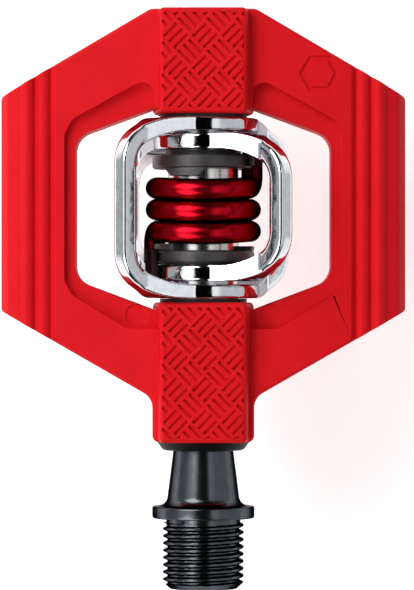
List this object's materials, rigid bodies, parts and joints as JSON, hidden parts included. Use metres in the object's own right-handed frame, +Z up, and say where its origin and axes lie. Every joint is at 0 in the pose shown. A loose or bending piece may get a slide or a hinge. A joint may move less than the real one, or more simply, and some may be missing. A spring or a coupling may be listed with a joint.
{
  "type": "clipless pedal",
  "caption": "Mountain bike clipless pedal with a caged platform and a sprung cleat-wing mechanism, on a threaded spindle.",
  "frame": {"origin": "on the spindle axis, at the crank side of the spindle's flange, which is the face that seats on the crank arm", "axes": "+X across the platform, +Y along the spindle from the crank outward, +Z up out of the upper tread face"},
  "size_m": [0.071, 0.1018, 0.0308],
  "materials": {
    "body_red": "satin moulded composite",
    "spindle_black": "black oxide steel, satin",
    "wing_chrome": "polished",
    "spring_red": "candy red, glossy",
    "collar_grey": "matt filled plastic",
    "sleeve_steel": "ground",
    "bearing_steel": "ground",
    "ball_steel": "polished",
    "cage_brass": "pressed",
    "nut_steel": "zinc plated",
    "seal_rubber": "matt",
    "bushing_plastic": "matt bearing plastic",
    "cap_black": "satin",
    "washer_steel": "stamped",
    "thrust_plastic": "matt"
  },
  "bodies": {
    "spindle_set": {"spindle": "spindle_black", "bearing_inner_race": "bearing_steel", "spindle_washer": "nut_steel", "locknut": "nut_steel"},
    "platform_set": {"platform": "body_red", "core_sleeve": "sleeve_steel", "bushing": "bushing_plastic", "dust_seal": "seal_rubber", "inner_seal": "seal_rubber", "bearing_outer_race": "bearing_steel", "bearing_shields": "bearing_steel", "end_cap": "cap_black", "cap_oring": "seal_rubber", "collar_outboard": "collar_grey", "collar_inboard": "collar_grey", "shim_outboard": "washer_steel", "shim_inboard": "washer_steel", "thrust_washer_outboard": "thrust_plastic", "thrust_washer_inboard": "thrust_plastic", "spring": "spring_red"},
    "cage_set": {"bearing_cage": "cage_brass", "bearing_balls": "ball_steel"},
    "outer_wing_set": {"wing_outer": "wing_chrome"},
    "inner_wing_set": {"wing_inner": "wing_chrome"}
  },
  "joints": [
    {"name": "platform_spin", "type": "hinge", "parent": "spindle_set", "child": "platform_set", "pos_m": [0, 0.054, 0], "axis": [0, 1, 0], "continuous": true},
    {"name": "cage_spin", "type": "hinge", "parent": "spindle_set", "child": "cage_set", "pos_m": [0, 0.0775, 0], "axis": [0, 1, 0], "continuous": true},
    {"name": "outer_wing_swing", "type": "hinge", "parent": "platform_set", "child": "outer_wing_set", "pos_m": [0, 0.0545, 0], "axis": [0, -1, 0], "range_deg": [0, 18], "stiffness_Nm_per_rad": 12.6, "springref_deg": -0.57, "deforming": ["spring"]},
    {"name": "inner_wing_swing", "type": "hinge", "parent": "platform_set", "child": "inner_wing_set", "pos_m": [0, 0.0545, 0], "axis": [0, 1, 0], "range_deg": [0, 18], "stiffness_Nm_per_rad": 12.6, "springref_deg": -0.57}
  ],
  "couplings": [
    {"joint": "cage_spin", "follows": "platform_spin", "ratio": 0.621}
  ]
}
